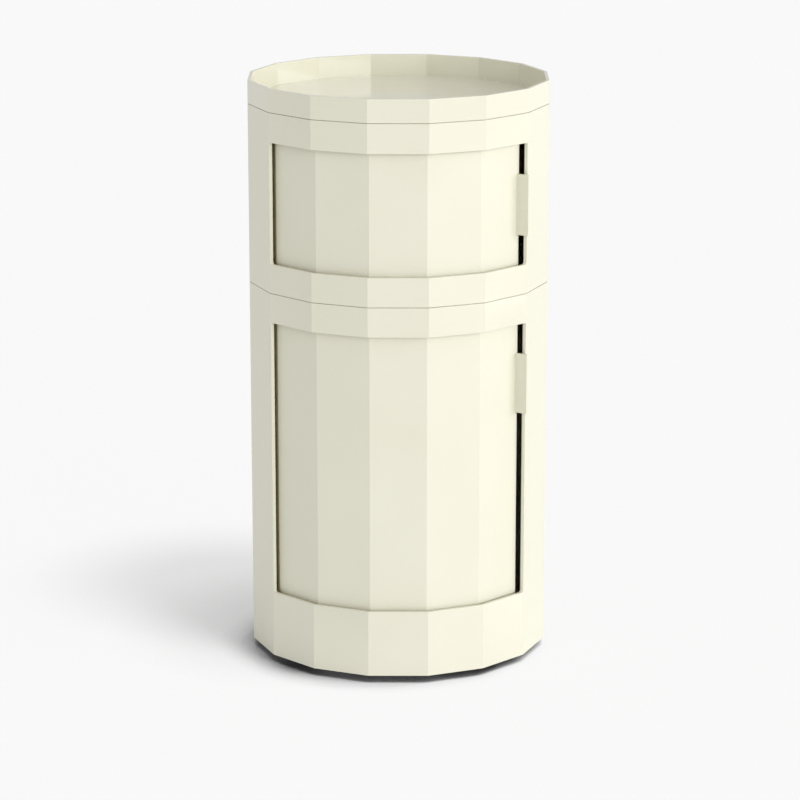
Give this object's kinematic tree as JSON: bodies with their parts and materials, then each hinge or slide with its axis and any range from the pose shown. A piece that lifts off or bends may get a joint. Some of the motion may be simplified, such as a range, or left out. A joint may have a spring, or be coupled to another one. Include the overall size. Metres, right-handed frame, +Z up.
{
  "type": "round side cabinet",
  "caption": "Faceted round side cabinet of stacked moulded modules with sliding doors on circular tracks, a loose tray on top and rubber feet below.",
  "frame": {"origin": "on the cabinet's upright axis, on the surface that the feet stand on", "axes": "+Z up along the cabinet's axis, -Y towards the doorways, +X to the right as seen from the front"},
  "size_m": [0.35, 0.35, 0.6879],
  "materials": {
    "cream_shell": "satin moulded cream plastic",
    "cream_door": "satin moulded cream plastic",
    "cream_tray": "half-gloss moulded cream plastic",
    "cream_floor": "fine-grained moulded cream plastic",
    "natural_acetal": "natural slippery plastic, unpainted",
    "black_rubber": "matt moulded rubber",
    "zinc_steel": "bright zinc plating"
  },
  "bodies": {
    "carcass": {"lower_shell": "cream_shell", "lower_floor": "cream_floor", "lower_guide_ring": "cream_floor", "upper_shell": "cream_shell", "upper_floor": "cream_floor", "upper_guide_ring": "cream_floor", "foot_1": "black_rubber", "foot_2": "black_rubber", "foot_3": "black_rubber", "foot_4": "black_rubber", "foot_screw_1": "zinc_steel", "foot_screw_2": "zinc_steel", "foot_screw_3": "zinc_steel", "foot_screw_4": "zinc_steel"},
    "lower_sliding_door": {"lower_door": "cream_door", "lower_door_bottom_shoe_1": "natural_acetal", "lower_door_bottom_shoe_2": "natural_acetal", "lower_door_bottom_shoe_3": "natural_acetal", "lower_door_top_shoe_1": "natural_acetal", "lower_door_top_shoe_2": "natural_acetal"},
    "upper_sliding_door": {"upper_door": "cream_door", "upper_door_bottom_shoe_1": "natural_acetal", "upper_door_bottom_shoe_2": "natural_acetal", "upper_door_bottom_shoe_3": "natural_acetal", "upper_door_top_shoe_1": "natural_acetal", "upper_door_top_shoe_2": "natural_acetal"},
    "loose_tray": {"top_tray": "cream_tray"}
  },
  "joints": [
    {"name": "lower_door_slide", "type": "hinge", "parent": "carcass", "child": "lower_sliding_door", "pos_m": [0, 0, 0.2334], "axis": [0, 0, -1], "range_deg": [0, 109]},
    {"name": "upper_door_slide", "type": "hinge", "parent": "carcass", "child": "upper_sliding_door", "pos_m": [0, 0, 0.5593], "axis": [0, 0, -1], "range_deg": [0, 109]},
    {"name": "tray_lift", "type": "slide", "parent": "carcass", "child": "loose_tray", "axis": [0, 0, 1], "range_m": [0, 0.05]}
  ]
}
